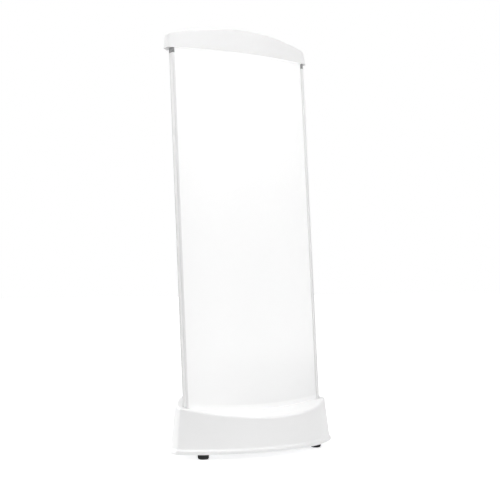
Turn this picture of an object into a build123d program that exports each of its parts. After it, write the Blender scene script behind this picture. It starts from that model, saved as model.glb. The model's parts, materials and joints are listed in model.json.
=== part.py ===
"""Light therapy lamp: a slim leaning light column on a weighted plastic base.

Millimetres, +Z up, front of the lamp towards -Y, +X to the viewer's right.
The origin is on the table, in the middle of the base's footprint.
Column pieces are drawn upright in the column's own frame (x across, y into the
depth, z along the column) and then leaned back into place by lean_back().
"""
from build123d import *
import math
import os

os.makedirs("parts", exist_ok=True)

# ---------------------------------------------------------------- base moulding
base_width = 243.0
base_depth = 140.0
base_front_radius = 172.5
base_corner_radius = 4.0
base_top_corner_radius = 4.0
base_side_radius = 28.0
base_side_straight = 7.5         # straight part of each side, behind the front corner
base_draft = 7.0                 # degrees
base_wall = 2.6
foot_height = 7.0                # table to the lower rim of the base
lip_height = 6.2
lip_band = 4.0                   # upright lower part of the lip
lip_reach = 2.1
lip_round = 2.0                  # between the band and the slope above it
lip_blend = 2.5                  # between that slope and the wall
sill_height = 48.35              # top of the base at its very front
sill_slope = 0.122
saddle_radius = 835.0
shoulder_slope = 0.175           # added climb of the top behind the rails
shoulder_blend = 8.0
top_edge_round = 3.0
tall = 96.0                      # above everything in the base

# ---------------------------------------------------------------- base plate
plate_thickness = 2.0
plate_recess = 1.0
plate_gap = 0.3
boss_radius = 4.0
boss_bore = 14.0                 # depth of the screw bores
front_boss_inset = (41.5, 34.0)  # from the base's side and its front
side_boss_inset = (38.5, 43.0)   # from the base's side and its rear
rear_boss_inset = (66.5, 27.0)
base_screw_grip = 11.0           # length of each screw above the plate

# ---------------------------------------------------------------- column
lean = 3.94                      # degrees
column_setback = 55.7            # base front to the diffuser's side edges
column_datum = 61.4              # height of the column frame's origin
column_bottom = -42.0            # along the column, inside the base
column_top = 450.5               # underside of the cap
column_tuck = 6.0                # length of the shells hidden in the cap
column_width = 208.6
column_depth = 47.0              # diffuser edge line to the back of the housing
column_gap = 0.8                 # column to base, all round
window_width = 201.4             # visible width of the diffuser
diffuser_bow = 6.5
diffuser_thickness = 3.0
diffuser_cover = 2.0             # diffuser edge hidden under the rail's lip
rail_front = -2.5
rail_lip = 2.2
rail_wall = 1.4
rail_web = 1.6
rail_web_inner = 95.0
rail_play = 1.1                  # slot width beyond the diffuser's thickness
rail_groove_width = 0.9
rail_groove_depth = 0.6
rail_round = 1.2
housing_wall = 1.6
housing_flange_inner = 97.5
housing_flange = 1.3
vent_count = 7
vent_pitch = 7.5
vent_length = 70.0
vent_height = 3.0
vent_low = 18.0
vent_high = 382.0

# ---------------------------------------------------------------- cap
cap_width = 221.2
cap_front = -15.0
cap_bow = 13.7
cap_corner_radius = 4.5
cap_side = 5.6
cap_overhang = 3.5               # behind the housing
cap_crown = 31.5                 # height in the middle
cap_crown_radius = 448.0
cap_side_draft = 0.157
cap_front_draft = 0.06
cap_wall = 2.4
cap_gap = 0.3
cap_edge_round = 3.5
seal_height = 6.5                # visible height of the rail end seals
seal_inset = 0.2

# ---------------------------------------------------------------- light engine
lamp_x = 48.0
lamp_y = 17.5
lamp_length = 410.0
tube_radius = 8.75
tube_wall = 1.0
tube_pitch = 21.0
tube_socket = 12.0
bridge_radius = 4.5
bridge_drop = 14.0
tube_end_round = 3.5
tube_end_wall = 2.5
tube_socket_gap = 0.1
lamp_cap_size = (40.5, 22.0, 26.0)
lamp_cap_corner = 7.0
lamp_cap_bevel = 1.5
pin_radius = 1.15
pin_length = 6.8
pin_pitch = 7.7
pin_clearance = 0.15
pin_hole_floor = 1.0
holder_size = (42.0, 22.0, 22.0)
holder_corner = 3.0
holder_bevel = 0.8
tray_thickness = 1.2
shelf_gap = 0.3                  # to the housing's inner face
shelf_lap = 1.0                  # overlap onto each rail's web
harness_hole_gap = 1.0
reflector_thickness = 0.7
reflector_floor = 27.4
reflector_ridge = 9.0
reflector_flat = (27.0, 69.0)
reflector_start = 50.0
reflector_rim = 90.0             # X where the flat rim turns into the slope
reflector_gap = 0.2
clip_thickness = 1.0
clip_clearance = 0.15
clip_height = 14.0
clip_forward = 3.0               # reach of its arms in front of the tubes' middle
clip_level = 368.0
bracket_level = 440.0
cap_boss_place = (60.0, 22.0)
cap_boss_radius = 4.0
cap_screw_length = 12.0

# ---------------------------------------------------------------- column foot
plug_height = 20.0               # of the part that fills the column's lower end
plug_gap = 0.2
duct_length = 140.0
duct_width = 13.0
foot_bolt_insets = [(20.3, 4.8), (59.3, 30.3)]  # from the column's side and front edge
foot_bolt_grip = 7.0

# ---------------------------------------------------------------- power entry
panel_setback = 13.3             # flat panel, in front of the base's rearmost point
panel_x = 43.0
panel_z = (16.0, 52.0)
panel_middle = 34.0
inlet_x = 20.0
inlet_flange = (31.0, 24.0, 2.0)
inlet_body = (27.0, 19.6)
inlet_cavity = (24.0, 16.0, 15.5)
inlet_depth = 15.0               # behind the panel
inlet_corner = 2.5
inlet_corner_cut = 4.5
inlet_pin = (2.0, 4.0)
inlet_pin_spread = 7.0
inlet_pin_rise = 2.0             # live and neutral above the middle, earth below
inlet_pin_recess = 1.0
switch_x = -20.0
switch_flange = (15.0, 21.0, 1.6)
switch_body = (12.8, 19.0)
switch_depth = 12.5
switch_corner = 1.5
rocker_radius = 8.3
rocker_width = 10.4
rocker_dish = 3.6                # face above the axis, in the middle
rocker_crest = 5.0               # and at its two ends
rocker_under = 5.2
rocker_gap = 0.3
rocker_tilt = 10.0               # degrees either side of the middle
rocker_axis_depth = 1.5          # behind the panel's face
trunnion_radius = 1.5
trunnion_length = 0.9
trunnion_clearance = 0.05
cutout_gap = 0.2
switch_blade = (4.8, 0.8)
switch_blade_offset = 5.0

# ---------------------------------------------------------------- ballast
ballast_size = (100.0, 25.0, 25.0)
ballast_setback = 16.3           # base front to the ballast's front
sheet = 0.8
board_thickness = 1.6
board_standoff = 3.0
board_gap = 0.3
standoff_radius = 2.5
standoff_inset = 8.0
coil_core = (18.0, 16.0, 3.0)
coil_winding = (12.0, 14.0, 9.0)
capacitors = [(24.0, 5.0, 15.0), (-22.0, 4.0, 12.0), (-34.0, 4.0, 12.0)]
capacitor_round = 0.6
terminal_size = (17.0, 13.0, 12.0)
terminal_gap = 6.5               # beside the ballast
terminal_shift = 3.2             # behind the ballast's middle
terminal_pitch = 5.0
terminal_bore = 3.0
terminal_sunk = 0.5              # screws below the block's top

# ---------------------------------------------------------------- feet, screws
foot_radius = 7.0
foot_round = 2.4
foot_pocket_gap = 0.2            # round the screw's head
foot_screw_grip = 4.0
front_foot_inset = (33.9, 41.3)  # from the base's side and its front
rear_foot_inset = (59.5, 35.0)   # from the base's side and its rear
screw_radius = 1.5
screw_head = 3.0
screw_head_height = 2.0
screw_clearance = 0.1
nut_radius = 3.2
nut_height = 2.4

# ---------------------------------------------------------------- wiring
wire_radius = 0.9
wire_bend = 2.5
harness_radius = 1.6
harness_bend = 5.0
harness_x = 18.0
tunnel = (14.0, 40.0, 5.0)       # wire tunnels under the column foot: from, to, height
low_lane = 11.2                  # heights of the wires in the tunnel
high_lane = 13.4
switched_x = 27.0
neutral_x = 33.0
front_lane_gap = 5.6             # lane in front of the diffuser's bow
rear_lane_gap = 0.7              # lane behind the column
inlet_tail = 5.0
switch_tail = 6.0
earth_inset = (38.0, 28.0)       # from the base's middle and its rear
lug_radius = 3.4
lug_thickness = 0.8
lug_reach = 7.0
lug_barrel = 1.3
stud_spare = 1.0                 # thread above the upper nut
harness_rise = 16.0
harness_slack = 14.0             # straight run below the holder
harness_back = 2.0
earth_lane_shift = 1.0           # behind the rear lane
earth_drop = 1.0
earth_bend = 1.2
supply_spread = 3.0
supply_rise = 4.0

screw_hole = screw_radius + screw_clearance
plate_low = foot_height + plate_recess
plate_top = plate_low + plate_thickness
draft = math.tan(math.radians(base_draft))
side_x = base_width / 2
front_y = -base_depth / 2
rear_y = base_depth / 2
column_y = front_y + column_setback
corner_reach = base_front_radius - base_corner_radius
corner_side = side_x - base_corner_radius
front_corner_y = front_y + base_front_radius - math.sqrt(corner_reach ** 2 - corner_side ** 2)
base_side_turn = front_corner_y + base_side_straight
boss_places = [
    (side_x - front_boss_inset[0], front_y + front_boss_inset[1]),
    (side_x - side_boss_inset[0], rear_y - side_boss_inset[1]),
    (side_x - rear_boss_inset[0], rear_y - rear_boss_inset[1]),
]
front_foot = (side_x - front_foot_inset[0], front_y + front_foot_inset[1])
rear_foot = (side_x - rear_foot_inset[0], rear_y - rear_foot_inset[1])
foot_bolt_places = [(column_width / 2 - x, column_y + y) for x, y in foot_bolt_insets]
panel_y = rear_y - panel_setback
ballast_y = front_y + ballast_setback + ballast_size[1] / 2
terminal_x = ballast_size[0] / 2 + terminal_gap + terminal_size[0] / 2
terminal_place = (terminal_x, ballast_y + terminal_shift)
front_lane = column_y - diffuser_bow - front_lane_gap
rear_lane = column_y + column_depth + rear_lane_gap
earth_place = (earth_inset[0], rear_y - earth_inset[1])
earth_lane = rear_lane + earth_lane_shift
rail_slot = diffuser_thickness + rail_play
rail_back = rail_front + rail_lip + rail_slot + rail_web
rear_bow = column_depth - rail_back
rear_radius = ((column_width / 2) ** 2 + rear_bow ** 2) / (2 * rear_bow)


# ------------------------------------------------------------------- helpers
def block(xs, ys, zs):
    """Box between two corners given as ranges."""
    size = [b - a for a, b in (xs, ys, zs)]
    middle = [(a + b) / 2 for a, b in (xs, ys, zs)]
    return Pos(*middle) * Box(*size)


def upright(x, y, low, high, radius):
    return Pos(x, y, (low + high) / 2) * Cylinder(radius, high - low)


def crosswise(x0, x1, y, z, radius):
    return Pos((x0 + x1) / 2, y, z) * Rot(0, 90, 0) * Cylinder(radius, x1 - x0)


def lean_back(piece):
    """Carry a piece from the column's frame into the lamp's frame."""
    return Pos(0, column_y, column_datum) * Rot(-lean, 0, 0) * piece


def rise(face, low, high):
    return extrude(Pos(0, 0, low) * face, high - low)


def both_sides(x, y):
    return [(x, y), (-x, y)]


def screw(x, y, low, high):
    """Pan-head screw driven upwards; low is the seat under its head."""
    head = upright(x, y, low - screw_head_height, low, screw_head)
    return head + upright(x, y, low, high, screw_radius)


# ------------------------------------------------------------------- base
def base_plan(inset, corner):
    """Plan of the base: bowed front, rounded corners, full rear curve."""
    half = base_width / 2 - inset
    front_r = base_front_radius - inset
    front_cy = base_front_radius - base_depth / 2
    corner_x = half - corner
    corner_y = front_cy - math.sqrt((front_r - corner) ** 2 - corner_x ** 2)
    side_cx = base_width / 2 - base_side_radius
    side_r = base_side_radius - inset
    k = base_side_turn - base_depth / 2
    rear_full = (base_side_radius ** 2 - side_cx ** 2 - k ** 2) / (2 * k + 2 * base_side_radius)
    rear_cy = base_depth / 2 - rear_full
    rear_r = rear_full - inset
    sweep = math.degrees(math.atan2(corner_x, front_cy - corner_y))
    turn = math.degrees(math.atan2(base_side_turn - rear_cy, side_cx))
    edges = [
        CenterArc((0, front_cy), front_r, -90 - sweep, 2 * sweep),
        CenterArc((corner_x, corner_y), corner, -90 + sweep, 90 - sweep),
        Line((half, corner_y), (half, base_side_turn)),
        CenterArc((side_cx, base_side_turn), side_r, 0, turn),
        CenterArc((0, rear_cy), rear_r, turn, 180 - 2 * turn),
        CenterArc((-side_cx, base_side_turn), side_r, 180 - turn, turn),
        Line((-half, base_side_turn), (-half, corner_y)),
        CenterArc((-corner_x, corner_y), corner, 180, 90 - sweep),
    ]
    return Face(Wire(edges))


def base_block(extra):
    """Drafted solid of the base, its walls moved in by extra."""
    low_inset = lip_reach - draft * lip_height + extra
    high_inset = lip_reach + draft * (tall - foot_height - lip_height) + extra
    low_corner = max(base_corner_radius - extra, 1.0)
    high_corner = max(base_top_corner_radius - extra, 1.0)
    low = Pos(0, 0, foot_height) * base_plan(low_inset, low_corner)
    high = Pos(0, 0, tall) * base_plan(high_inset, high_corner)
    return loft([low, high], ruled=True)


def top_height(x, y):
    """Height of the base's top: a sloping saddle that climbs behind the rails."""
    saddle = saddle_radius - math.sqrt(saddle_radius ** 2 - x ** 2)
    behind_rails = y - column_y
    ramp = (math.hypot(behind_rails, shoulder_blend) + behind_rails) / 2
    return sill_height + sill_slope * (y + base_depth / 2) + saddle + shoulder_slope * ramp


def under_top(drop):
    """Everything below the base's top surface, lowered by drop."""
    xs = [base_width * (i / 20 - 0.5) * 1.1 for i in range(21)]
    ys = [base_depth * (i / 16 - 0.5) * 1.1 for i in range(17)]
    grid = [[Vector(x, y, top_height(x, y) - drop) for y in ys] for x in xs]
    top = Face.make_surface_from_array_of_points(grid, tol=0.01)
    return extrude(top, tall, dir=(0, 0, -1))


def panel_cut(width, height, x):
    """Window through the rear panel."""
    half_w = width / 2 + cutout_gap
    half_h = height / 2 + cutout_gap
    return block(
        (x - half_w, x + half_w),
        (panel_y - base_wall - 1, panel_y + 1),
        (panel_middle - half_h, panel_middle + half_h),
    )


def base_lip():
    """Lip round the base's lower rim: an upright band, then a slope into the wall."""
    band_top = foot_height + lip_band
    inside = base_wall / 2
    run_in = lip_reach * (1 + inside / (lip_height - lip_band))
    outline = base_plan(0, base_corner_radius)
    sections = [Pos(0, 0, foot_height) * outline, Pos(0, 0, band_top) * outline]
    sections.append(Pos(0, 0, foot_height + lip_height + inside)
                    * base_plan(run_in, base_corner_radius - run_in / 2))
    lip = loft(sections, ruled=True)
    edges = lip.edges().filter_by_position(Axis.Z, band_top - 0.01, band_top + 0.01)
    return fillet(edges, lip_round)


def base_outside():
    """Solid with the base's outer shape."""
    body = base_block(0) & under_top(0)
    rim = body.edges().filter_by(lambda e: e.center().Z > sill_height - base_wall)
    body = fillet(rim, top_edge_round) + base_lip()
    level = foot_height + lip_height
    crease = body.edges().filter_by(lambda e: abs(e.center().Z - level) < lip_band / 4)
    return fillet(crease, lip_blend)


def base_shell():
    body = base_outside()
    shell = body - (base_block(base_wall) & under_top(base_wall))
    for x, y in boss_places:
        for bx, by in both_sides(x, y):
            boss = upright(bx, by, plate_top, tall, boss_radius)
            boss = boss & under_top(base_wall / 2) & base_block(base_wall / 2)
            bore = upright(bx, by, plate_top - 1, plate_top + boss_bore, screw_hole)
            shell = shell + boss - bore
    surround = block((-panel_x - base_wall, panel_x + base_wall),
                     (panel_y - base_wall, base_depth),
                     (panel_z[0] - base_wall, panel_z[1] + base_wall))
    shell = shell + (surround & base_block(base_wall / 2))
    shell = shell - block((-panel_x, panel_x), (panel_y, base_depth), panel_z)
    shell = shell - panel_cut(*inlet_body, inlet_x) - panel_cut(*switch_body, switch_x)
    opening = rise(column_plan(column_gap), column_bottom, tall)
    return shell - lean_back(opening)


def base_plate():
    below_lip = foot_height + lip_height - plate_top
    inset = lip_reach + base_wall + plate_gap - draft * below_lip
    plan = base_plan(inset, base_corner_radius - base_wall)
    plate = rise(plan, plate_low, plate_top)
    places = [earth_place]
    for x, y in boss_places + [front_foot, rear_foot] + foot_bolt_places:
        places = places + both_sides(x, y)
    for x, y in places:
        plate = plate - upright(x, y, plate_low - 1, plate_top + 1, screw_hole)
    return plate


def base_screws():
    places = [p for x, y in boss_places for p in both_sides(x, y)]
    return [screw(x, y, plate_low, plate_top + base_screw_grip) for x, y in places]


# ------------------------------------------------------------------- feet
def foot(x, y):
    body = upright(x, y, 0, plate_low, foot_radius)
    body = fillet(body.edges().group_by(Axis.Z)[0], foot_round)
    pocket = upright(x, y, -1, foot_height / 2, screw_head + foot_pocket_gap)
    bore = upright(x, y, 0, plate_low + 1, screw_hole)
    return body - pocket - bore


def foot_places():
    return both_sides(*front_foot) + both_sides(*rear_foot)


def foot_screws():
    return [screw(x, y, foot_height / 2, plate_top + foot_screw_grip) for x, y in foot_places()]


def nut(x, y, low):
    """Hexagon nut resting at a given height."""
    body = Pos(x, y, 0) * rise(RegularPolygon(nut_radius, 6), low, low + nut_height)
    return body - upright(x, y, low - 1, low + nut_height + 1, screw_hole)


def foot_nuts():
    return [nut(x, y, plate_top) for x, y in foot_places()]


# ------------------------------------------------------------------- column
def lens(front_out, rear_out, front_half):
    """Plan between the diffuser's bow and the housing's back curve."""
    half = window_width / 2
    bow_r = (half ** 2 + diffuser_bow ** 2) / (2 * diffuser_bow)
    bow = Pos(0, bow_r - diffuser_bow) * Circle(bow_r + front_out)
    back = Pos(0, column_depth - rear_radius) * Circle(rear_radius + rear_out)
    strip = Pos(0, column_depth / 2) * Rectangle(2 * front_half, 3 * column_depth)
    return bow & back & strip


def column_plan(out):
    """Outline of the whole column, grown by out."""
    half = column_width / 2 + out
    deep = rail_back - rail_front + 2 * out
    rails = Pos(0, (rail_front + rail_back) / 2) * Rectangle(2 * half, deep)
    between = Pos(0, rail_back / 2 - 2 * diffuser_bow) * Rectangle(
        window_width - 2 * out, 4 * diffuser_bow)
    face = rails - (between - lens(out, 0, half)) + lens(out, out, half)
    return face.faces()[0]


def rail_section(inset):
    """Section of the right rail: front lip, diffuser slot, rear web."""
    outer = column_width / 2 - inset
    inner = window_width / 2 + inset
    front = rail_front + inset
    slot_low = rail_front + rail_lip
    slot_high = slot_low + rail_slot
    back = rail_back
    slot_end = column_width / 2 - rail_wall
    points = [(inner, front), (outer, front), (outer, back), (rail_web_inner, back),
              (rail_web_inner, slot_high), (slot_end, slot_high), (slot_end, slot_low),
              (inner, slot_low)]
    section = make_face(Polyline(*points, close=True))
    corners = section.vertices().filter_by_position(Axis.Y, front - 0.01, front + 0.01)
    return fillet(corners.sort_by(Axis.X)[-1], rail_round)


def side_rail(side):
    section = rail_section(0)
    groove_x = (window_width / 2 + column_width / 2) / 2
    groove = Pos(groove_x, rail_front) * Rectangle(rail_groove_width, 2 * rail_groove_depth)
    rail = rise(section - groove, column_bottom, column_top - seal_height)
    if side < 0:
        rail = mirror(rail, Plane.YZ)
    return lean_back(rail)


def rail_end_seal(side):
    seal = rise(rail_section(seal_inset), column_top - seal_height, column_top)
    if side < 0:
        seal = mirror(seal, Plane.YZ)
    return lean_back(seal)


def diffuser():
    half = window_width / 2 + diffuser_cover
    sheet_plan = lens(0, 0, half) - Pos(0, diffuser_thickness) * lens(0, 4 * diffuser_bow, 2 * half)
    return lean_back(rise(sheet_plan, column_bottom, column_top + column_tuck))


def back_circle(offset):
    return Pos(0, column_depth - rear_radius) * Circle(rear_radius - offset)


def behind(depth, half):
    """Half plane behind a given depth, limited in width."""
    return Pos(0, depth + column_depth) * Rectangle(2 * half, 2 * column_depth)


def back_housing():
    half = column_width / 2
    shell = (back_circle(0) - back_circle(housing_wall)) & behind(rail_back, half)
    flange = Pos(0, rail_back + housing_flange / 2) * Rectangle(2 * half, housing_flange)
    flange = flange - Rectangle(2 * housing_flange_inner, 4 * column_depth)
    flange = flange & back_circle(0)
    housing = rise(shell + flange, column_bottom, column_top + column_tuck)
    for start in (vent_low, vent_high):
        for i in range(vent_count):
            slot = Plane.XZ.offset(-column_depth / 2) * SlotOverall(vent_length, vent_height)
            cut = extrude(slot, -column_depth)
            housing = housing - Pos(0, 0, start + i * vent_pitch) * cut
    return lean_back(housing)


def shelf(level):
    """Sheet-metal shelf across the column, resting against both rail webs."""
    plan = back_circle(housing_wall + shelf_gap) & behind(rail_back, rail_web_inner + shelf_lap)
    return rise(plan, level, level + tray_thickness)


def lamp_tray():
    tray = shelf(-tray_thickness)
    for x, y in both_sides(lamp_x, lamp_y):
        tray = tray - upright(x, y, -tray_thickness - 1, 1, harness_radius + harness_hole_gap)
    return lean_back(tray)


def top_bracket():
    plate = shelf(bracket_level)
    for x, y in both_sides(*cap_boss_place):
        plate = plate - upright(x, y, bracket_level - 1, bracket_level + tray_thickness + 1,
                                screw_hole)
    return lean_back(plate)


def reflector():
    inner, outer = reflector_flat
    half = [(housing_flange_inner - reflector_gap, rail_back), (reflector_rim, rail_back),
            (outer, reflector_floor), (inner, reflector_floor), (0, reflector_ridge)]
    front = half + [(-x, y) for x, y in reversed(half[:-1])]
    back = [(x, y + reflector_thickness) for x, y in reversed(front)]
    plan = make_face(Polyline(*front, *back, close=True))
    return lean_back(rise(plan, reflector_start, bracket_level))


# ------------------------------------------------------------------- lamps
def lamp_base_level():
    return holder_size[2]


def tube_pair(radius, low, high, bridge, bridge_level):
    """Two upright tubes joined near the top by a short bridge."""
    half = tube_pitch / 2
    pair = upright(-half, 0, low, high, radius) + upright(half, 0, low, high, radius)
    return pair + crosswise(-half, half, 0, bridge_level, bridge)


def lamp_tube(side):
    low = lamp_base_level() + lamp_cap_size[2] - tube_socket
    high = lamp_base_level() + lamp_length
    level = high - bridge_drop
    outside = tube_pair(tube_radius, low, high, bridge_radius, level)
    outside = fillet(outside.edges().group_by(Axis.Z)[-1], tube_end_round)
    inside = tube_pair(tube_radius - tube_wall, low + tube_wall, high - tube_end_wall,
                       bridge_radius - tube_wall, level)
    return lean_back(Pos(side * lamp_x, lamp_y, 0) * (outside - inside))


def lamp_cap(side):
    width, depth, height = lamp_cap_size
    low = lamp_base_level()
    body = rise(RectangleRounded(width, depth, lamp_cap_corner), low, low + height)
    body = chamfer(body.edges().group_by(Axis.Z)[-1], lamp_cap_bevel)
    for x in (-tube_pitch / 2, tube_pitch / 2):
        body = body - upright(x, 0, low + height - tube_socket, low + height + 1,
                              tube_radius + tube_socket_gap)
    return lean_back(Pos(side * lamp_x, lamp_y, 0) * body)


def pin_offsets():
    return [(i - 1.5) * pin_pitch for i in range(4)]


def lamp_pins(side):
    low = lamp_base_level() - pin_length
    return [lean_back(upright(side * lamp_x + x, lamp_y, low, lamp_base_level(), pin_radius))
            for x in pin_offsets()]


def lamp_holder(side):
    width, depth, height = holder_size
    body = rise(RectangleRounded(width, depth, holder_corner), 0, height)
    body = chamfer(body.edges().group_by(Axis.Z)[-1], holder_bevel)
    for x in pin_offsets():
        body = body - upright(x, 0, height - pin_length - pin_hole_floor, height + 1,
                              pin_radius + pin_clearance)
    return lean_back(Pos(side * lamp_x, lamp_y, 0) * body)


def lamp_clip(side):
    """Spring clip round the twin tube, open towards the front."""
    reach = tube_pitch / 2 + tube_radius + clip_clearance
    back = reflector_floor - lamp_y
    width = 2 * (reach + clip_thickness)
    strap = Pos(0, back - clip_thickness / 2) * Rectangle(width, clip_thickness)
    arm_depth = back + clip_forward
    arms = [Pos(s * (reach + clip_thickness / 2), back - arm_depth / 2)
            * Rectangle(clip_thickness, arm_depth) for s in (-1, 1)]
    plan = strap + arms[0] + arms[1]
    clip = rise(plan, clip_level, clip_level + clip_height)
    return lean_back(Pos(side * lamp_x, lamp_y, 0) * clip)


# ------------------------------------------------------------------- cap
def cap_plan(width, front, rear, corner):
    """Plan of the cap: bowed front, short sides, full rear curve."""
    half = width / 2
    radius = (half ** 2 + cap_bow ** 2) / (2 * cap_bow)
    cy = front + radius
    corner_x = half - corner
    corner_y = cy - math.sqrt((radius - corner) ** 2 - corner_x ** 2)
    sweep = math.degrees(math.atan2(corner_x, cy - corner_y))
    side_end = corner_y + cap_side
    deep = rear - side_end
    rear_r = (half ** 2 + deep ** 2) / (2 * deep)
    turn = math.degrees(math.atan2(side_end - rear + rear_r, half))
    edges = [
        CenterArc((0, cy), radius, -90 - sweep, 2 * sweep),
        CenterArc((corner_x, corner_y), corner, -90 + sweep, 90 - sweep),
        Line((half, corner_y), (half, side_end)),
        CenterArc((0, rear - rear_r), rear_r, turn, 180 - 2 * turn),
        Line((-half, side_end), (-half, corner_y)),
        CenterArc((-corner_x, corner_y), corner, 180, 90 - sweep),
    ]
    return Face(Wire(edges))


def cap_block(inset, low, high):
    """Drafted solid of the cap, moved in by inset."""
    rear = column_depth + cap_overhang - inset
    corner = max(cap_corner_radius - inset, 0.8)
    sections = []
    for level in (low, high):
        up = level - column_top
        sections.append(Pos(0, 0, level) * cap_plan(
            cap_width - 2 * (inset + cap_side_draft * up),
            cap_front + inset + cap_front_draft * up,
            rear - cap_side_draft * up, corner))
    return loft(sections, ruled=True)


def under_crown(drop):
    """Everything below the cap's crowned top."""
    top = column_top + cap_crown - drop
    radius = cap_crown_radius - drop
    roll = Pos(0, 0, top - radius) * Rot(90, 0, 0) * Cylinder(radius, 4 * column_depth)
    return roll & block((-cap_width, cap_width), (-base_depth, base_depth), (0, 2 * column_top))


def top_cap():
    high = column_top + cap_crown + 2
    body = cap_block(0, column_top, high) & under_crown(0)
    rim = body.edges().filter_by(lambda e: e.center().Z > column_top + cap_crown / 2)
    body = fillet(rim, cap_edge_round)
    hollow = cap_block(cap_wall, column_top + cap_wall, high) & under_crown(cap_wall)
    opening = lens(cap_gap, cap_gap, column_width / 2 + cap_gap)
    cap = body - hollow - rise(opening, column_top - 1, column_top + column_tuck + cap_gap)
    for x, y in both_sides(*cap_boss_place):
        boss = upright(x, y, bracket_level + tray_thickness, column_top + cap_crown, cap_boss_radius)
        cap = cap + (boss & under_crown(cap_wall / 2))
        cap = cap - upright(x, y, bracket_level, bracket_level + boss_bore, screw_hole)
    return lean_back(cap)


def cap_screws():
    return [lean_back(screw(x, y, bracket_level, bracket_level + cap_screw_length))
            for x, y in both_sides(*cap_boss_place)]


# ------------------------------------------------------------------- column foot
def column_foot():
    """Cast block that carries the column: flat below, leaning plug above."""
    base = lean_back(rise(column_plan(0), 1.5 * column_bottom, column_bottom))
    base = base & block((-base_width, base_width), (-base_depth, base_depth), (plate_top, tall))
    plug_plan = back_circle(housing_wall + plug_gap) & behind(rail_back + plug_gap,
                                                              rail_web_inner - plug_gap)
    plug = lean_back(rise(plug_plan, column_bottom, column_bottom + plug_height))
    body = base + plug
    duct = Pos(0, lamp_y) * SlotOverall(duct_length, duct_width)
    body = body - lean_back(rise(duct, 2 * column_bottom, column_bottom + plug_height + 1))
    low, high, rise_by = tunnel
    for xs in ((low, high), (-high, -low)):
        body = body - block(xs, (-base_depth, base_depth), (plate_top - 1, plate_top + rise_by))
    for x, y in foot_bolt_places:
        for px, py in both_sides(x, y):
            body = body - upright(px, py, 0, plate_top + foot_bolt_grip + 2, screw_hole)
    return body


def foot_bolts():
    places = [p for x, y in foot_bolt_places for p in both_sides(x, y)]
    return [screw(x, y, plate_low, plate_top + foot_bolt_grip) for x, y in places]


# ------------------------------------------------------------------- power inlet
def inlet_hole(width, height, low, high):
    """Socket shape with two slanted lower corners, from low to high along Y."""
    w, h, cut = width / 2, height / 2, inlet_corner_cut
    points = [(-w, h), (w, h), (w, -h + cut), (w - cut, -h), (-w + cut, -h), (-w, -h + cut)]
    face = Plane.XZ.offset(-low) * make_face(Polyline(*points, close=True))
    return extrude(face, low - high)


def power_inlet():
    w, h, t = inlet_flange
    bw, bh = inlet_body
    face = panel_y + t
    flange = block((-w / 2, w / 2), (panel_y, face), (-h / 2, h / 2))
    flange = fillet(flange.edges().filter_by(Axis.Y), inlet_corner)
    body = block((-bw / 2, bw / 2), (panel_y - inlet_depth, panel_y), (-bh / 2, bh / 2))
    cw, ch, cd = inlet_cavity
    hole = inlet_hole(cw, ch, face - cd, face + 1)
    inlet = Pos(inlet_x, 0, panel_middle) * (flange + body - hole)
    for x, z in inlet_pin_places():
        inlet = inlet - pin_bar(x, z, panel_y - inlet_depth - 1, face)
    return inlet


def inlet_pin_places():
    high = panel_middle + inlet_pin_rise
    low = panel_middle - inlet_pin_rise
    return [(inlet_x - inlet_pin_spread, high), (inlet_x + inlet_pin_spread, high), (inlet_x, low)]


def pin_bar(x, z, low, high):
    half_w, half_h = inlet_pin[0] / 2, inlet_pin[1] / 2
    return block((x - half_w, x + half_w), (low, high), (z - half_h, z + half_h))


def inlet_pins():
    tip = panel_y + inlet_flange[2] - inlet_pin_recess
    return [pin_bar(x, z, inlet_back(), tip) for x, z in inlet_pin_places()]


def inlet_back():
    """Y of the solder tails behind the inlet."""
    return panel_y - inlet_depth - inlet_tail


# ------------------------------------------------------------------- switch
def rocker_axis():
    return panel_y - rocker_axis_depth


def switch_housing():
    w, h, t = switch_flange
    bw, bh = switch_body
    half_z = rocker_radius + rocker_gap
    half_x = rocker_width / 2 + rocker_gap
    flange = block((-w / 2, w / 2), (panel_y, panel_y + t), (-h / 2, h / 2))
    flange = fillet(flange.edges().filter_by(Axis.Y), switch_corner)
    body = block((-bw / 2, bw / 2), (panel_y - switch_depth, panel_y), (-bh / 2, bh / 2))
    well = block((-half_x, half_x), (rocker_axis() - rocker_radius - rocker_gap, panel_y + t + 1),
                 (-half_z, half_z))
    holes = crosswise(-half_x - trunnion_length, half_x + trunnion_length, rocker_axis(), 0,
                      trunnion_radius + trunnion_clearance)
    return Pos(switch_x, 0, panel_middle) * (flange + body - well - holes)


def switch_rocker():
    """Rocker with a dished face, lying tilted to its ON side."""
    half = rocker_radius
    disc = crosswise(-rocker_width / 2, rocker_width / 2, 0, 0, half)
    far = 2 * half
    profile = [(rocker_dish, 0), (rocker_crest, half), (far, half), (far, -half),
               (rocker_crest, -half)]
    outline = [Vector(-half, y, z) for y, z in profile]
    top = extrude(Face(Wire.make_polygon(outline)), far, dir=(1, 0, 0))
    under = block((-half, half), (-half, -rocker_under), (-half, half))
    pins = crosswise(-rocker_width / 2 - trunnion_length, rocker_width / 2 + trunnion_length,
                     0, 0, trunnion_radius)
    rocker = disc - top - under + pins
    return Pos(switch_x, rocker_axis(), panel_middle) * Rot(rocker_tilt, 0, 0) * rocker


def switch_terminals():
    back = panel_y - switch_depth
    half_w, half_h = switch_blade[0] / 2, switch_blade[1] / 2
    return [block((switch_x - half_w, switch_x + half_w), (back - switch_tail, back),
                  (z - half_h, z + half_h)) for z in switch_terminal_levels()]


def switch_terminal_levels():
    return [panel_middle - switch_blade_offset, panel_middle + switch_blade_offset]


# ------------------------------------------------------------------- ballast
def ballast_box():
    w, d, h = ballast_size
    return (-w / 2, w / 2), (ballast_y - d / 2, ballast_y + d / 2), (plate_top, plate_top + h)


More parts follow.
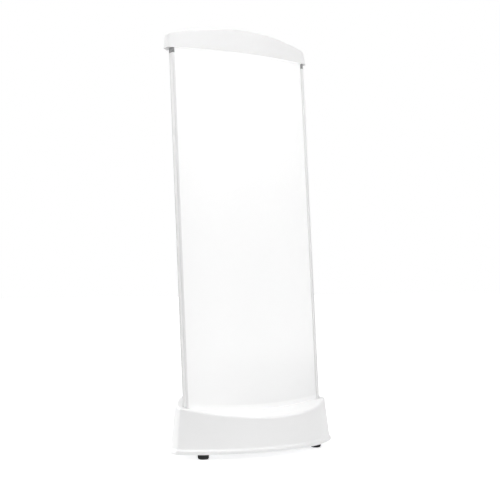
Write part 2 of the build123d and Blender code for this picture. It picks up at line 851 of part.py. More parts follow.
def ballast_case():
    xs, ys, zs = ballast_box()
    tray = block(xs, ys, (zs[0], zs[1] - sheet))
    inner = block(xs, (ys[0] + sheet, ys[1] - sheet), (zs[0] + sheet, zs[1]))
    return tray - inner


def ballast_lid():
    xs, ys, zs = ballast_box()
    top = block(xs, ys, (zs[1] - sheet, zs[1]))
    ends = [block((x, x + sheet), (ys[0] + sheet, ys[1] - sheet), (zs[0] + sheet, zs[1] - sheet))
            for x in (xs[0], xs[1] - sheet)]
    return top + ends[0] + ends[1]


def board_level():
    return plate_top + sheet + board_standoff


def ballast_board():
    xs, ys, zs = ballast_box()
    side = sheet + board_gap
    board = block((xs[0] + side, xs[1] - side), (ys[0] + side, ys[1] - side),
                  (board_level(), board_level() + board_thickness))
    for x in (xs[0] + standoff_inset, xs[1] - standoff_inset):
        board = board + upright(x, ballast_y, plate_top + sheet, board_level(), standoff_radius)
    return board


def ballast_coil():
    """Choke: a winding between two core plates."""
    low = board_level() + board_thickness
    plate, winding = coil_core[2], coil_winding[2]
    stack = Pos(0, ballast_y, low + plate / 2) * Box(*coil_core)
    stack = stack + Pos(0, ballast_y, low + plate + winding / 2) * Box(*coil_winding)
    return stack + Pos(0, ballast_y, low + 1.5 * plate + winding) * Box(*coil_core)


def ballast_capacitors():
    low = board_level() + board_thickness
    cans = []
    for x, radius, height in capacitors:
        can = upright(x, ballast_y, low, low + height, radius)
        cans.append(fillet(can.edges().group_by(Axis.Z)[-1], capacitor_round))
    return cans


def terminal_block():
    x, y = terminal_place
    w, d, h = terminal_size
    body = block((x - w / 2, x + w / 2), (y - d / 2, y + d / 2), (plate_top, plate_top + h))
    top = plate_top + h
    for way in terminal_ways():
        body = body - upright(way, y, top - terminal_bore, top + 1, screw_hole)
    return body


def terminal_ways():
    x = terminal_place[0]
    return [x - terminal_pitch, x, x + terminal_pitch]


def terminal_screws():
    y = terminal_place[1]
    top = plate_top + terminal_size[2]
    low = top - terminal_bore
    return [upright(x, y, low, top - terminal_sunk, screw_radius) for x in terminal_ways()]


# ------------------------------------------------------------------- wiring
def wire(points, radius, bend):
    """Insulated wire along straight runs joined by tangent arcs."""
    path = FilletPolyline(*points, radius=bend)
    start = Plane(origin=path @ 0, z_dir=path % 0)
    return sweep(start * Circle(radius), path)


def live_wire():
    x, z = inlet_pin_places()[0]
    level = z + inlet_pin[1] / 2
    back = panel_y - switch_depth - switch_tail
    return wire([(x, inlet_back(), level), (x, rear_lane, level), (switch_x, rear_lane, level),
                 (switch_x, back, level)], wire_radius, wire_bend)


def switched_wire():
    """From the switch under the column to the terminal block."""
    level = switch_terminal_levels()[0]
    back = panel_y - switch_depth - switch_tail
    way = terminal_ways()[0]
    return wire([(switch_x, back, level), (switch_x, rear_lane, level),
                 (switch_x, rear_lane, low_lane), (switched_x, rear_lane, low_lane),
                 (switched_x, front_lane, low_lane), (way, front_lane, low_lane),
                 (way, terminal_back(), low_lane)], wire_radius, wire_bend)


def neutral_wire():
    x, z = inlet_pin_places()[1]
    way = terminal_ways()[1]
    return wire([(x, inlet_back(), z), (x, rear_lane, z), (x, rear_lane, high_lane),
                 (neutral_x, rear_lane, high_lane), (neutral_x, front_lane, high_lane),
                 (way, front_lane, high_lane), (way, terminal_back(), high_lane)],
                wire_radius, wire_bend)


def terminal_back():
    return terminal_place[1] + terminal_size[1] / 2


def lug_level():
    """Height of the ring lug's underside, on top of its nut."""
    return plate_top + nut_height


def earth_wire():
    x, z = inlet_pin_places()[2]
    ex, ey = earth_place
    level = lug_level() + lug_thickness / 2
    high = z - earth_drop
    return wire([(x, inlet_back(), high), (x, earth_lane, high), (x, earth_lane, level),
                 (x, ey, level), (ex - lug_reach, ey, level)], wire_radius, earth_bend)


def earth_lug():
    ex, ey = earth_place
    level = lug_level()
    ring = upright(ex, ey, level, level + lug_thickness, lug_radius)
    edge = ex - (nut_radius + lug_radius) / 2
    barrel = crosswise(ex - lug_reach, edge, ey, level + lug_thickness / 2, lug_barrel)
    return ring + barrel - upright(ex, ey, 0, tall, screw_hole)


def earth_stud():
    """Screw with a nut under the lug and a nut over it."""
    ex, ey = earth_place
    top = lug_level() + lug_thickness
    return [screw(ex, ey, plate_low, top + nut_height + stud_spare), nut(ex, ey, plate_top),
            nut(ex, ey, top)]


def lamp_harness(side):
    """Lamp leads from the ballast, up inside the column to the lamp holder."""
    xs, ys, zs = ballast_box()
    level = plate_top + tunnel[2] / 2
    above = lean_back(Pos(side * lamp_x, lamp_y, 0)).position
    below = lean_back(Pos(side * lamp_x, lamp_y, -harness_slack)).position
    x = side * harness_x
    climb = column_y + lamp_y - harness_back
    return wire([(x, ys[1], level), (x, climb, level), (x, climb, level + harness_rise),
                 tuple(below), tuple(above)], harness_radius, harness_bend)


def supply_wires():
    """Two short leads from the terminal block into the ballast."""
    xs, ys, zs = ballast_box()
    edge = terminal_place[0] - terminal_size[0] / 2
    level = plate_top + supply_rise
    return [crosswise(xs[1], edge, terminal_place[1] + y, level, wire_radius)
            for y in (-supply_spread, supply_spread)]


parts = {
    "base_shell": base_shell(),
    "base_plate": base_plate(),
    "base_screws": base_screws(),
    "foot_front_left": foot(-front_foot[0], front_foot[1]),
    "foot_front_right": foot(*front_foot),
    "foot_rear_left": foot(-rear_foot[0], rear_foot[1]),
    "foot_rear_right": foot(*rear_foot),
    "foot_screws": foot_screws(),
    "foot_nuts": foot_nuts(),
    "column_foot": column_foot(),
    "foot_bolts": foot_bolts(),
    "left_side_rail": side_rail(-1),
    "right_side_rail": side_rail(1),
    "left_rail_seal": rail_end_seal(-1),
    "right_rail_seal": rail_end_seal(1),
    "diffuser": diffuser(),
    "back_housing": back_housing(),
    "lamp_tray": lamp_tray(),
    "reflector": reflector(),
    "top_bracket": top_bracket(),
    "left_lamp_tube": lamp_tube(-1),
    "right_lamp_tube": lamp_tube(1),
    "left_lamp_cap": lamp_cap(-1),
    "right_lamp_cap": lamp_cap(1),
    "left_lamp_pins": lamp_pins(-1),
    "right_lamp_pins": lamp_pins(1),
    "left_lamp_holder": lamp_holder(-1),
    "right_lamp_holder": lamp_holder(1),
    "left_lamp_clip": lamp_clip(-1),
    "right_lamp_clip": lamp_clip(1),
    "top_cap": top_cap(),
    "cap_screws": cap_screws(),
    "power_inlet": power_inlet(),
    "inlet_pins": inlet_pins(),
    "switch_housing": switch_housing(),
    "switch_rocker": switch_rocker(),
    "switch_terminals": switch_terminals(),
    "ballast_case": ballast_case(),
    "ballast_lid": ballast_lid(),
    "ballast_board": ballast_board(),
    "ballast_coil": ballast_coil(),
    "ballast_capacitors": ballast_capacitors(),
    "terminal_block": terminal_block(),
    "terminal_screws": terminal_screws(),
    "supply_wires": supply_wires(),
    "live_wire": live_wire(),
    "switched_wire": switched_wire(),
    "neutral_wire": neutral_wire(),
    "earth_wire": earth_wire(),
    "earth_lug": earth_lug(),
    "earth_stud": earth_stud(),
    "left_lamp_harness": lamp_harness(-1),
    "right_lamp_harness": lamp_harness(1),
}

for name, piece in parts.items():
    if isinstance(piece, list):
        piece = Compound(children=[Compound(p.solids()) if len(p.solids()) > 1 else p.solids()[0]
                                   for p in piece])
    export_step(piece, f"parts/{name}.step")
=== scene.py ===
"""Looks, light and camera for the light therapy lamp.

Metres, +Z up, front of the lamp towards -Y. The lamp stands at the origin.
"""
import json
import math

import bmesh
import bpy
from mathutils import Matrix, Vector


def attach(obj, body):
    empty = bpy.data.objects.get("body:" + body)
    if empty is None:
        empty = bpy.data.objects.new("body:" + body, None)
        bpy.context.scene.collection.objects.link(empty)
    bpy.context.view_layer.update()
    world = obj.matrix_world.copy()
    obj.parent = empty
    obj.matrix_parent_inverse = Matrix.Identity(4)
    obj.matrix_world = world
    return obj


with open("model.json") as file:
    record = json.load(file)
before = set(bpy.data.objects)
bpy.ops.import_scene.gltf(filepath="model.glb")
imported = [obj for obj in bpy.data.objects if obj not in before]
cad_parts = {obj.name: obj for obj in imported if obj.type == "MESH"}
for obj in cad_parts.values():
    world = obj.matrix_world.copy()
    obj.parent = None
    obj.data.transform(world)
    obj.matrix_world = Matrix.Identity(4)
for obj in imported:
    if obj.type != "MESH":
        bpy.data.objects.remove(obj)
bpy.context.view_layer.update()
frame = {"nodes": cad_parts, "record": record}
nodes = frame["nodes"]

# ---------------------------------------------------------------- the lit sheet and tubes
TUBE_X = 0.048                  # the lamp tubes, left and right of the middle
TUBE_GLOW = 2.2
TUBE_FOOT = (0.100, 0.135)      # heights between which a tube starts to glow
TUBE_FOOT_SHARE = 0.15          # of its glow, below them
BAND_REACH = 0.05               # to each side of a tube, the sheet before it gets dimmer
BAND_EDGE = 0.93                # the band's level at that reach
SHEET_GLOW = 0.20
SHEET_HALF = 0.1005             # half the sheet's open width
SHEET_FOOT = (0.058, 0.135)     # heights between which the lit sheet fades
FOOT_LOSS = (0.36, 0.70)        # share lost at its foot, left and right
FOOT_SIDES = (-0.10, 0.10)
SHEET_HEAD = (0.470, 0.520)
HEAD_LOSS = 0.25                # share lost at its head, on the right
HEAD_SIDES = (0.02, 0.10)
CAP_CORNER_PAINTED_LIGHT = 0.12                 # painted light: extra glow on the sheet in the corner under the cap, against the shade there
CAP_EDGE = (0.500, 0.512)
JOIN_PAINTED_LIGHT = 0.17                # painted light: extra glow on the sheet in the corner where it enters the base, against the shade there
JOIN_HEIGHT = 0.0545            # in the middle; it rises to both sides
JOIN_CURVE = 0.6
JOIN_REACH = 0.007
UNDERSIDE = -0.8                # normal's Z below which a face is the cap's underside
# painted light: glow on the cap's underside over the sheet, standing in for the sheet's light on
# it
UNDERSIDE_PAINTED_LIGHT = 0.25
UNDERSIDE_PAINTED_SHADE = 0.7            # painted shade: darker tone of the underside where the sheet doesn't shine on it

# ---------------------------------------------------------------- rails
LEAN = math.radians(3.94)       # of the column, about the line at COLUMN_FRONT and COLUMN_DATUM
COLUMN_FRONT = -0.0143
COLUMN_DATUM = 0.0614
RAIL_SIDE = 0.1035              # X where a rail's front turns into its side
RAIL_SIDE_PAINTED_SHADE = (0.42, 0.16)       # painted shade on a rail's side, low down and near the cap
RAIL_FADE = (0.25, 0.45)        # heights between which it changes
RAIL_REAR = 0.0033              # behind the column's front, where a rail's rear edge begins
# painted shadow along a rail's rear edge, at its joint with the housing
RAIL_REAR_PAINTED_SHADE = 0.45
RAIL_PAINTED_SHADE_TONE = 0.70                # tone of a rail under full painted shade

# ---------------------------------------------------------------- marks on the rocker
MM = 0.001
ROCKER_AXIS = Vector((-0.020, 0.0552, 0.034))
ROCKER_TILT = math.radians(10)
FACE_HALF = 8.3                 # mm from here on: the face's middle to either end
FACE_DISH = 3.6                 # height of its middle over the axis
FACE_CREST = 5.0                # and of its ends
MARK_SEAT = -0.02               # the marks start just inside the face
MARK_HEIGHT = 0.12
MARK_REACH = 1.5                # half the bar's length, and the ring's radius
BAR_HALF = 0.35
RING_BORE = 0.95
RING_SIDES = 36
SHARP_ANGLE = math.radians(35)

# ---------------------------------------------------------------- camera, floor and world
CAMERA_PLACE = Vector((-0.883024, -1.242269, 0.215381))
CAMERA_YAW = math.radians(35.5363)
CAMERA_PITCH = math.radians(1.5723)
CAMERA_ROLL = math.radians(-0.2382)
CAMERA_LENS = 85.151
CAMERA_SENSOR = 36.0
CAMERA_REACH = 60.0
FLOOR_HALF = 14.0
FLOOR_LIFT = 0.68               # keeps the far floor as white as the world behind it
WORLD_LIGHT = 0.585

PURE_WHITE = (1.0, 1.0, 1.0, 1.0)
WHITE = (0.90, 0.90, 0.90, 1.0)
RAIL = (0.92, 0.92, 0.92, 1.0)
OPAL = (0.87, 0.87, 0.87, 1.0)


# ---------------------------------------------------------------- shader helpers
class Shade:
    """A material with a Principled shader and short calls for its texture nodes."""

    def __init__(self, name, color, roughness, metallic=0.0):
        self.material = bpy.data.materials.new(name)
        self.material.use_nodes = True
        self.tree = self.material.node_tree
        self.principled = self.tree.nodes["Principled BSDF"]
        self.set("Base Color", color)
        self.set("Roughness", roughness)
        self.set("Metallic", metallic)
        self.coordinates = self.node("ShaderNodeTexCoord").outputs["Object"]

    def set(self, socket, value):
        self.principled.inputs[socket].default_value = value

    def node(self, kind, **attributes):
        made = self.tree.nodes.new(kind)
        for key, value in attributes.items():
            setattr(made, key, value)
        return made

    def link(self, output, target):
        if isinstance(target, str):
            target = self.principled.inputs[target]
        self.tree.links.new(output, target)

    def stretched(self, sx, sy, sz):
        """Object coordinates scaled along each axis."""
        mapping = self.node("ShaderNodeMapping")
        mapping.inputs["Scale"].default_value = (sx, sy, sz)
        self.link(self.coordinates, mapping.inputs["Vector"])
        return mapping.outputs["Vector"]

    def noise(self, scale, detail=3.0, roughness=0.5, vector=None):
        made = self.node("ShaderNodeTexNoise")
        made.inputs["Scale"].default_value = scale
        made.inputs["Detail"].default_value = detail
        made.inputs["Roughness"].default_value = roughness
        self.link(vector or self.coordinates, made.inputs["Vector"])
        return made.outputs["Fac"]

    def spread(self, value, low, high, start=0.3, end=0.7):
        """Map a value from start..end to low..high."""
        made = self.node("ShaderNodeMapRange")
        made.inputs["From Min"].default_value = start
        made.inputs["From Max"].default_value = end
        made.inputs["To Min"].default_value = low
        made.inputs["To Max"].default_value = high
        self.link(value, made.inputs["Value"])
        return made.outputs["Result"]

    def math(self, operation, first, second=0.0):
        made = self.node("ShaderNodeMath", operation=operation)
        for socket, value in zip(made.inputs, (first, second)):
            if isinstance(value, (int, float)):
                socket.default_value = value
            else:
                self.link(value, socket)
        return made.outputs["Value"]

    def plus(self, first, second):
        return self.math("ADD", first, second)

    def minus(self, first, second):
        return self.math("SUBTRACT", first, second)

    def times(self, first, second):
        return self.math("MULTIPLY", first, second)

    def above(self, value, limit):
        """1 where a value is above a limit, 0 elsewhere."""
        return self.math("GREATER_THAN", value, limit)

    def below(self, value, limit):
        return self.math("LESS_THAN", value, limit)

    def between(self, value, first, second):
        """Colour that runs from first to second with a value of 0 to 1."""
        made = self.node("ShaderNodeMix", data_type="RGBA")
        colors = [socket for socket in made.inputs if socket.type == "RGBA"]
        colors[0].default_value = first
        colors[1].default_value = second
        self.link(value, made.inputs["Factor"])
        return [socket for socket in made.outputs if socket.type == "RGBA"][0]

    def bump(self, height, strength, distance):
        made = self.node("ShaderNodeBump")
        made.inputs["Strength"].default_value = strength
        made.inputs["Distance"].default_value = distance
        self.link(height, made.inputs["Height"])
        self.link(made.outputs["Normal"], "Normal")

    def split(self, vector):
        """The X, Y and Z of a vector."""
        made = self.node("ShaderNodeSeparateXYZ")
        self.link(vector, made.inputs["Vector"])
        return made.outputs["X"], made.outputs["Y"], made.outputs["Z"]

    def position(self):
        return self.split(self.coordinates)

    def off_middle(self, x):
        """Distance from the lamp's middle, to either side."""
        return self.math("ABSOLUTE", x)


def tint(color, factor):
    return tuple(channel * factor for channel in color[:3]) + (1.0,)


def patchy_gloss(shade, roughness):
    patches = shade.spread(shade.noise(60.0), roughness - 0.04, roughness + 0.05)
    shade.link(patches, "Roughness")


# ---------------------------------------------------------------- materials
def moulded(name, color, roughness, grain=2600.0, depth=0.00003):
    """Moulded plastic: fine spark-eroded grain, faint flow marks and patches of gloss."""
    shade = Shade(name, color, roughness)
    grains = shade.noise(grain, detail=2.0, roughness=0.6)
    ripple = shade.noise(38.0, detail=2.0, roughness=0.4)
    shade.bump(shade.plus(grains, shade.times(ripple, 0.35)), strength=0.22, distance=depth)
    patch = shade.spread(shade.noise(9.0, detail=4.0, roughness=0.55), 0.0, 1.0)
    shade.link(shade.between(patch, tint(color, 0.985), color), "Base Color")
    patchy_gloss(shade, roughness)
    return shade.material


def crowned(name, color, roughness):
    """The cap's plastic: painted light on its underside over the sheet, painted shade on the rest
    of the underside.
    """
    shade = Shade(name, color, roughness)
    grains = shade.noise(2600.0, detail=2.0, roughness=0.6)
    shade.bump(grains, strength=0.22, distance=0.00003)
    _, _, facing_up = shade.split(shade.node("ShaderNodeNewGeometry").outputs["Normal"])
    underside = shade.below(facing_up, UNDERSIDE)
    x, _, _ = shade.position()
    over_sheet = shade.below(shade.off_middle(x), SHEET_HALF)
    lit = shade.times(underside, over_sheet)
    # painted light: the underside over the sheet glows as if lit by it
    shade.link(shade.times(lit, UNDERSIDE_PAINTED_LIGHT), "Emission Strength")
    shade.set("Emission Color", PURE_WHITE)
    # painted shade: the rest of the underside is darker
    unlit = shade.minus(underside, lit)
    shade.link(shade.between(unlit, color, tint(color, UNDERSIDE_PAINTED_SHADE)), "Base Color")
    patchy_gloss(shade, roughness)
    return shade.material


def extrusion(name, color):
    """Satin extruded rail: long fine lines; painted shade darkens its outer side, most low down,
    and a painted shadow its rear edge.
    """
    shade = Shade(name, color, 0.38)
    lines = shade.noise(1.0, detail=4.0, roughness=0.7, vector=shade.stretched(900.0, 900.0, 1.5))
    shade.bump(lines, strength=0.18, distance=0.00002)
    x, y, z = shade.position()
    # painted shadow along the rail's rear edge, measured along the leaning column
    back = shade.times(shade.minus(y, COLUMN_FRONT), math.cos(LEAN))
    leaned = shade.times(shade.minus(z, COLUMN_DATUM), math.sin(LEAN))
    at_rear = shade.above(shade.minus(back, leaned), RAIL_REAR)
    # painted shade on the outer side, darker low down
    side = shade.plus(shade.spread(z, *RAIL_SIDE_PAINTED_SHADE, *RAIL_FADE),
                      shade.times(at_rear, RAIL_REAR_PAINTED_SHADE))
    outside = shade.above(shade.off_middle(x), RAIL_SIDE)
    painted_shade_and_lines = shade.plus(shade.times(outside, side), shade.spread(lines, 0.0, 0.12))
    shade.link(shade.between(painted_shade_and_lines, color, tint(color, RAIL_PAINTED_SHADE_TONE)), "Base Color")
    shade.link(shade.spread(lines, 0.33, 0.46), "Roughness")
    return shade.material


def plated(name, color, roughness, spangle=170.0):
    """Plated metal: soft spangle, fine scratches."""
    shade = Shade(name, color, roughness, metallic=1.0)
    cells = shade.node("ShaderNodeTexVoronoi")
    cells.inputs["Scale"].default_value = spangle
    shade.link(shade.coordinates, cells.inputs["Vector"])
    tone = shade.spread(cells.outputs["Distance"], 0.0, 1.0, 0.0, 0.8)
    shade.link(shade.between(tone, tint(color, 0.86), color), "Base Color")
    along = shade.stretched(1500.0, 90.0, 90.0)
    scratches = shade.noise(1.0, detail=3.0, roughness=0.6, vector=along)
    shade.bump(scratches, strength=0.12, distance=0.00002)
    shade.link(shade.spread(scratches, roughness - 0.08, roughness + 0.1), "Roughness")
    return shade.material


def rubber(name, color):
    """Matt rubber: fine grain and a little dust."""
    shade = Shade(name, color, 0.78)
    shade.bump(shade.noise(3000.0, detail=3.0, roughness=0.7), strength=0.5, distance=0.00006)
    dust = shade.spread(shade.noise(180.0, detail=5.0, roughness=0.65), 0.0, 1.0, 0.45, 0.8)
    shade.link(shade.between(dust, color, tint(color, 1.8)), "Base Color")
    shade.link(shade.spread(shade.noise(240.0), 0.68, 0.88), "Roughness")
    return shade.material


def cast(name, color):
    """Cast or sintered metal: coarse skin, patches of tone."""
    shade = Shade(name, color, 0.7, metallic=0.6)
    shade.bump(shade.noise(420.0, detail=5.0, roughness=0.7), strength=0.7, distance=0.0003)
    patch = shade.spread(shade.noise(70.0, detail=4.0), 0.0, 1.0)
    shade.link(shade.between(patch, tint(color, 0.7), tint(color, 1.25)), "Base Color")
    return shade.material


def insulated(name, color):
    """Wire insulation: slightly glossy, with faint ripples."""
    shade = Shade(name, color, 0.38)
    shade.bump(shade.noise(700.0, detail=2.0), strength=0.2, distance=0.00005)
    patch = shade.spread(shade.noise(120.0), 0.0, 1.0)
    shade.link(shade.between(patch, tint(color, 0.85), color), "Base Color")
    return shade.material


def sheet_glow(shade):
    """Glow of the front sheet: bands before the tubes, dimmer at both ends, and painted light in
    the corners under the cap and at the base.
    """
    x, _, z = shade.position()
    from_tube = shade.math("ABSOLUTE", shade.minus(shade.off_middle(x), TUBE_X))
    bands = shade.spread(from_tube, 1.0, BAND_EDGE, 0.0, BAND_REACH)
    foot_loss = shade.times(shade.spread(z, 1.0, 0.0, *SHEET_FOOT),
                            shade.spread(x, *FOOT_LOSS, *FOOT_SIDES))
    head_loss = shade.times(shade.spread(z, 0.0, HEAD_LOSS, *SHEET_HEAD),
                            shade.spread(x, 0.0, 1.0, *HEAD_SIDES))
    lit = shade.minus(1.0, shade.plus(foot_loss, head_loss))
    # painted light: extra glow in the corners under the cap and where the sheet enters the base
    under_cap = shade.times(shade.spread(z, 0.0, 1.0, *CAP_EDGE), CAP_CORNER_PAINTED_LIGHT)
    join = shade.plus(shade.times(shade.times(x, x), JOIN_CURVE), JOIN_HEIGHT)
    at_join = shade.spread(shade.minus(z, join), JOIN_PAINTED_LIGHT, 0.0, 0.0, JOIN_REACH)
    through = shade.times(shade.times(bands, lit), SHEET_GLOW)
    return shade.plus(through, shade.plus(under_cap, at_join))


def opal():
    """Frosted front sheet, lit from behind."""
    shade = Shade("opal_sheet", OPAL, 0.42)
    shade.bump(shade.noise(5200.0, detail=2.0, roughness=0.6), strength=0.12, distance=0.00002)
    shade.link(sheet_glow(shade), "Emission Strength")
    shade.set("Emission Color", PURE_WHITE)
    patch = shade.spread(shade.noise(14.0, detail=2.0), 0.0, 1.0)
    shade.link(shade.between(patch, tint(OPAL, 0.992), OPAL), "Base Color")
    return shade.material


def glowing_glass():
    """Coated fluorescent glass: lit along its length, dim at its foot."""
    shade = Shade("lamp_glass", (0.93, 0.93, 0.92, 1.0), 0.25)
    _, _, z = shade.position()
    lit = shade.spread(z, TUBE_FOOT_SHARE, 1.0, *TUBE_FOOT)
    shade.set("Emission Color", (1.0, 0.99, 0.96, 1.0))
    shade.link(shade.times(lit, TUBE_GLOW), "Emission Strength")
    shade.bump(shade.noise(900.0), strength=0.05, distance=0.00002)
    return shade.material


def board():
    """Circuit board: green resist over a faint pattern of tracks."""
    green = (0.03, 0.16, 0.07, 1.0)
    shade = Shade("circuit_board", green, 0.4)
    tracks = shade.node("ShaderNodeTexBrick")
    tracks.inputs["Scale"].default_value = 210.0
    tracks.inputs["Color1"].default_value = green
    tracks.inputs["Color2"].default_value = tint(green, 1.25)
    tracks.inputs["Mortar"].default_value = tint(green, 1.9)
    shade.link(shade.coordinates, tracks.inputs["Vector"])
    shade.link(tracks.outputs["Color"], "Base Color")
    shade.bump(tracks.outputs["Fac"], strength=0.3, distance=0.00003)
    return shade.material


def mirror():
    """Bright rolled sheet: fine lines along Z, slightly wavy."""
    shade = Shade("mirror_sheet", (0.90, 0.91, 0.92, 1.0), 0.12, metallic=1.0)
    along = shade.stretched(1200.0, 1200.0, 4.0)
    lines = shade.noise(1.0, detail=3.0, roughness=0.6, vector=along)
    shade.link(shade.spread(lines, 0.06, 0.2), "Roughness")
    shade.bump(shade.noise(25.0, detail=2.0), strength=0.08, distance=0.0004)
    return shade.material


looks = {
    "white_plastic": moulded("white_plastic", WHITE, 0.40),
    "cap_plastic": crowned("cap_plastic", WHITE, 0.40),
    "pale_rail": extrusion("pale_rail", RAIL),
    "white_housing": moulded("white_housing", (0.82, 0.82, 0.82, 1.0), 0.45, 1500.0, 0.00006),
    "opal_sheet": opal(),
    "black_rubber": rubber("black_rubber", (0.012, 0.012, 0.013, 1.0)),
    # rail end seals: a real rubber part, their dark grey partly painted shade for the shadow under
    # the cap's overhang
    "seal_rubber": rubber("seal_rubber", (0.28, 0.28, 0.28, 1.0)),
    "steel_sheet": plated("steel_sheet", (0.56, 0.57, 0.58, 1.0), 0.38),
    "steel_fasteners": plated("steel_fasteners", (0.62, 0.62, 0.61, 1.0), 0.3, 600.0),
    "cast_metal": cast("cast_metal", (0.09, 0.09, 0.095, 1.0)),
    "mirror_sheet": mirror(),
    "lamp_glass": glowing_glass(),
    "lamp_plastic": moulded("lamp_plastic", (0.78, 0.78, 0.74, 1.0), 0.5),
    "black_plastic": moulded("black_plastic", (0.022, 0.022, 0.024, 1.0), 0.36, 1800.0, 0.00005),
    "brass_contacts": plated("brass_contacts", (0.72, 0.56, 0.26, 1.0), 0.28, 900.0),
    "circuit_board": board(),
    "ferrite": cast("ferrite", (0.05, 0.048, 0.05, 1.0)),
    "capacitor_sleeve": insulated("capacitor_sleeve", (0.03, 0.04, 0.09, 1.0)),
    "brown_wire": insulated("brown_wire", (0.10, 0.035, 0.015, 1.0)),
    "blue_wire": insulated("blue_wire", (0.015, 0.07, 0.34, 1.0)),
    "green_wire": insulated("green_wire", (0.12, 0.30, 0.02, 1.0)),
    "white_wire": insulated("white_wire", (0.75, 0.75, 0.72, 1.0)),
}


def dress(piece, material):
    piece.data.materials.clear()
    piece.data.materials.append(material)


slot_of = {entry["node"]: entry["material_slot"] for entry in frame["record"]["subparts"]}
for name, piece in nodes.items():
    dress(piece, looks[slot_of[name]])
dress(nodes["top_cap"], looks["cap_plastic"])


# ---------------------------------------------------------------- marks on the rocker
def show(name, data):
    """Put new object data into the scene."""
    holder = bpy.data.objects.new(name, data)
    bpy.context.scene.collection.objects.link(holder)
    return holder


def finish_mesh(name, shape, material, body):
    """Turn a bmesh into a smooth-shaded piece that rides on a body."""
    data = bpy.data.meshes.new(name)
    bmesh.ops.recalc_face_normals(shape, faces=shape.faces)
    shape.to_mesh(data)
    shape.free()
    for polygon in data.polygons:
        polygon.use_smooth = True
    data.set_sharp_from_angle(angle=SHARP_ANGLE)
    piece = show(name, data)
    dress(piece, material)
    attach(piece, body)


def outline(shape, points, height, place):
    """Vertices through plan points at a height over a place, in mm."""
    return [shape.verts.new(place @ (Vector((x, y, height)) * MM)) for x, y in points]


def circle(radius):
    turns = [2 * math.pi * i / RING_SIDES for i in range(RING_SIDES)]
    return [(radius * math.cos(turn), radius * math.sin(turn)) for turn in turns]


def bridge(shape, first, second):
    """Faces between two closed rows of vertices."""
    count = len(first)
    for i in range(count):
        j = (i + 1) % count
        shape.faces.new((first[i], first[j], second[j], second[i]))


def on_slope(side):
    """Middle of the face's upper (1) or lower (-1) slope, with Z out of the face."""
    middle = Vector((0, (FACE_DISH + FACE_CREST) / 2, side * FACE_HALF / 2)) * MM
    face_tilt = math.atan2(FACE_CREST - FACE_DISH, FACE_HALF)
    return (Matrix.Translation(ROCKER_AXIS)
            @ Matrix.Rotation(ROCKER_TILT, 4, "X")
            @ Matrix.Translation(middle)
            @ Matrix.Rotation(-side * face_tilt, 4, "X")
            @ Matrix.Rotation(math.radians(-90), 4, "X"))


def add_bar(shape, place):
    corners = [(-BAR_HALF, -MARK_REACH), (BAR_HALF, -MARK_REACH),
               (BAR_HALF, MARK_REACH), (-BAR_HALF, MARK_REACH)]
    low = outline(shape, corners, MARK_SEAT, place)
    high = outline(shape, corners, MARK_HEIGHT, place)
    bridge(shape, low, high)
    shape.faces.new(high)
    shape.faces.new(low[::-1])


def add_ring(shape, place):
    section = ((MARK_REACH, MARK_SEAT), (MARK_REACH, MARK_HEIGHT),
               (RING_BORE, MARK_HEIGHT), (RING_BORE, MARK_SEAT))
    rows = [outline(shape, circle(radius), height, place) for radius, height in section]
    for first, second in zip(rows, rows[1:] + rows[:1]):
        bridge(shape, first, second)


def rocker_marks():
    """Raised bar for on and raised ring for off, on the two slopes of the rocker's face."""
    shape = bmesh.new()
    add_bar(shape, on_slope(1))
    add_ring(shape, on_slope(-1))
    paint = moulded("mark_white", (0.75, 0.75, 0.75, 1.0), 0.5)
    finish_mesh("rocker_marks", shape, paint, "rocker")


rocker_marks()


# ---------------------------------------------------------------- camera
def place_camera():
    forward = Vector((
        math.sin(CAMERA_YAW) * math.cos(CAMERA_PITCH),
        math.cos(CAMERA_YAW) * math.cos(CAMERA_PITCH),
        math.sin(CAMERA_PITCH),
    ))
    level_right = Vector((math.cos(CAMERA_YAW), -math.sin(CAMERA_YAW), 0.0))
    level_up = level_right.cross(forward)
    right = math.cos(CAMERA_ROLL) * level_right + math.sin(CAMERA_ROLL) * level_up
    up = -math.sin(CAMERA_ROLL) * level_right + math.cos(CAMERA_ROLL) * level_up
    camera = show("camera", bpy.data.cameras.new("camera"))
    camera.data.sensor_width = CAMERA_SENSOR
    camera.data.lens = CAMERA_LENS
    camera.data.clip_end = CAMERA_REACH
    camera.matrix_world = (Matrix.Translation(CAMERA_PLACE)
                           @ Matrix((right, up, -forward)).transposed().to_4x4())
    bpy.context.scene.camera = camera


# ---------------------------------------------------------------- floor and light
def white_to_the_eye(tree):
    """1 for camera, mirror and glass rays, 0 for the light that falls on the lamp."""
    path = tree.nodes.new("ShaderNodeLightPath")
    total = path.outputs["Is Camera Ray"]
    for kind in ("Is Glossy Ray", "Is Transmission Ray"):
        step = tree.nodes.new("ShaderNodeMath")
        step.operation = "MAXIMUM"
        tree.links.new(total, step.inputs[0])
        tree.links.new(path.outputs[kind], step.inputs[1])
        total = step.outputs["Value"]
    return total


def make_floor():
    shape = bmesh.new()
    corners = ((-FLOOR_HALF, -FLOOR_HALF), (FLOOR_HALF, -FLOOR_HALF),
               (FLOOR_HALF, FLOOR_HALF), (-FLOOR_HALF, FLOOR_HALF))
    shape.faces.new([shape.verts.new((x, y, 0.0)) for x, y in corners])
    data = bpy.data.meshes.new("floor")
    shape.to_mesh(data)
    shape.free()
    floor = show("floor", data)
    shade = Shade("floor", (0.80, 0.80, 0.80, 1.0), 0.9)
    shade.set("Specular IOR Level", 0.0)
    shade.set("Emission Color", PURE_WHITE)
    shade.link(shade.times(white_to_the_eye(shade.tree), FLOOR_LIFT), "Emission Strength")
    dress(floor, shade.material)


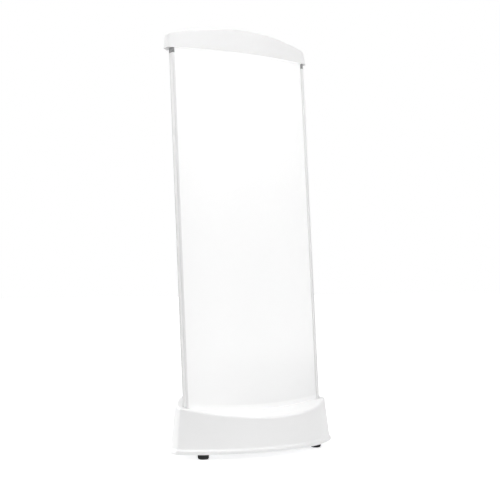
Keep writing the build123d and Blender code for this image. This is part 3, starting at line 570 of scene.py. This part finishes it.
def make_world():
    """White behind everything, and a lower level for the light that falls on the lamp."""
    world = bpy.data.worlds.new("studio")
    bpy.context.scene.world = world
    world.use_nodes = True
    tree = world.node_tree
    background = tree.nodes["Background"]
    background.inputs["Color"].default_value = PURE_WHITE
    level = tree.nodes.new("ShaderNodeMapRange")
    level.inputs["To Min"].default_value = WORLD_LIGHT
    level.inputs["To Max"].default_value = 1.0
    tree.links.new(white_to_the_eye(tree), level.inputs["Value"])
    tree.links.new(level.outputs["Result"], background.inputs["Strength"])


def soft_light(name, place, target, size, power, beam=180.0):
    """Rectangular lamp of a power in watts, aimed at a target, its beam in degrees."""
    light = bpy.data.lights.new(name, "AREA")
    light.spread = math.radians(beam)
    light.shape = "RECTANGLE"
    light.size, light.size_y = size
    light.energy = power
    holder = show(name, light)
    holder.location = place
    toward = Vector(target) - Vector(place)
    holder.rotation_euler = toward.to_track_quat("-Z", "Y").to_euler()


place_camera()
make_floor()
make_world()
soft_light("left_window", (-1.6, 1.9, 1.0), (0, 0, 0.25), (1.4, 1.6), 9.0)
soft_light("left_low", (-1.6, 1.9, 0.8), (-0.12, 0, 0.0), (0.4, 0.4), 0.25, beam=22.0)
soft_light("front_fill", (1.3, -2.2, 1.3), (0, 0, 0.25), (1.6, 1.2), 6.7)
soft_light("front_top", (-0.3, -1.2, 1.6), (0, 0, 0.2), (1.0, 0.8), 4.9)
soft_light("sill_light", (-0.1, -0.5, 2.2), (0, -0.10, 0.05), (0.3, 0.3), 0.07, beam=14.0)
soft_light("cap_light", (-1.4, -1.3, 1.1), (-0.10, -0.02, 0.50), (0.2, 0.2), 0.030, beam=12.0)
soft_light("cap_right", (1.0, -1.6, 1.2), (0.13, -0.02, 0.50), (0.1, 0.1), 0.004, beam=8.0)
soft_light("horn_light", (-0.6, 0.1, 2.2), (-0.115, 0.01, 0.07), (0.2, 0.2), 0.034, beam=10.0)
soft_light("overhead", (0.0, -0.2, 2.6), (0, 0, 0.2), (2.0, 2.0), 7.0)

bpy.context.scene.view_settings.view_transform = "Standard"
